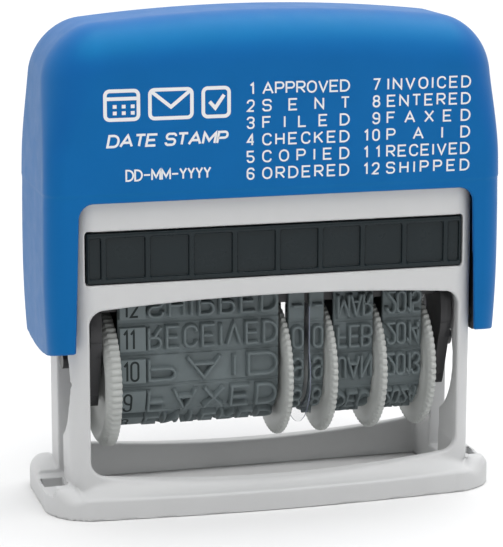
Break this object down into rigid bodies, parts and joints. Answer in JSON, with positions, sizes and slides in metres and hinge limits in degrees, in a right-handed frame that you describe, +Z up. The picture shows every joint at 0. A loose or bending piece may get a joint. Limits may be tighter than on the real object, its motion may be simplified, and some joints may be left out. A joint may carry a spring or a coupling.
{
  "type": "rotary date stamp",
  "caption": "Self-inking rotary date stamp with a press-down cap, a flipping carriage of thumb wheels and rubber type bands, and a slide-out ink pad.",
  "frame": {"origin": "centre of the base's underside, on the paper", "axes": "+X along the print line to the right, -Y the front with the pad's face, +Z up"},
  "size_m": [0.0748, 0.031, 0.0789],
  "materials": {
    "frame_plastic": "moulded light grey plastic, satin",
    "cap_plastic": "moulded blue plastic, semi-gloss, with a white print",
    "carriage_plastic": "moulded black plastic",
    "pad_plastic": "moulded black plastic, semi-gloss",
    "pad_felt": "ink-soaked felt",
    "wheel_plastic": "moulded pale grey plastic",
    "type_rubber": "dark slate-grey moulded rubber",
    "clear_film": "thin clear film",
    "steel": "drawn wire and turned pins"
  },
  "bodies": {
    "frame": {"frame": "frame_plastic", "spring_left": "steel", "spring_right": "steel"},
    "cap": {"cap_shell": "cap_plastic", "drive_yoke": "carriage_plastic", "pivot_pin_left": "steel", "pivot_pin_right": "steel"},
    "carriage": {"left_cheek": "carriage_plastic", "right_cheek": "carriage_plastic", "platen": "carriage_plastic", "wheel_axle": "steel", "axle_collar": "carriage_plastic", "phrase_band": "type_rubber", "day_tens_band": "type_rubber", "day_units_band": "type_rubber", "month_band": "type_rubber", "year_band": "type_rubber", "band_divider": "clear_film"},
    "pad": {"pad_tray": "pad_plastic", "ink_pad": "pad_felt"},
    "phrase_wheel": {"phrase_wheel": "wheel_plastic"},
    "day_tens_wheel": {"day_tens_wheel": "wheel_plastic"},
    "day_units_wheel": {"day_units_wheel": "wheel_plastic"},
    "month_wheel": {"month_wheel": "wheel_plastic"},
    "year_wheel": {"year_wheel": "wheel_plastic"}
  },
  "joints": [
    {"name": "cap_press", "type": "slide", "parent": "frame", "child": "cap", "axis": [0, 0, -1], "range_m": [0, 0.021], "stiffness_N_per_m": 500, "springref_m": -0.01, "deforming": ["spring_left", "spring_right"]},
    {"name": "carriage_flip", "type": "hinge", "parent": "cap", "child": "carriage", "pos_m": [0, 0, 0.02895], "axis": [-1, 0, 0], "range_deg": [0, 180]},
    {"name": "pad_slide", "type": "slide", "parent": "frame", "child": "pad", "axis": [0, -1, 0], "range_m": [0, 0.026]},
    {"name": "phrase_wheel_turn", "type": "hinge", "parent": "carriage", "child": "phrase_wheel", "pos_m": [0, 0, 0.0198], "axis": [1, 0, 0], "continuous": true},
    {"name": "day_tens_wheel_turn", "type": "hinge", "parent": "carriage", "child": "day_tens_wheel", "pos_m": [0, 0, 0.0198], "axis": [1, 0, 0], "continuous": true},
    {"name": "day_units_wheel_turn", "type": "hinge", "parent": "carriage", "child": "day_units_wheel", "pos_m": [0, 0, 0.0198], "axis": [1, 0, 0], "continuous": true},
    {"name": "month_wheel_turn", "type": "hinge", "parent": "carriage", "child": "month_wheel", "pos_m": [0, 0, 0.0198], "axis": [1, 0, 0], "continuous": true},
    {"name": "year_wheel_turn", "type": "hinge", "parent": "carriage", "child": "year_wheel", "pos_m": [0, 0, 0.0198], "axis": [1, 0, 0], "continuous": true}
  ],
  "couplings": [
    {"joint": "carriage_flip", "follows": "cap_press", "rad_per_m": 149.6}
  ]
}
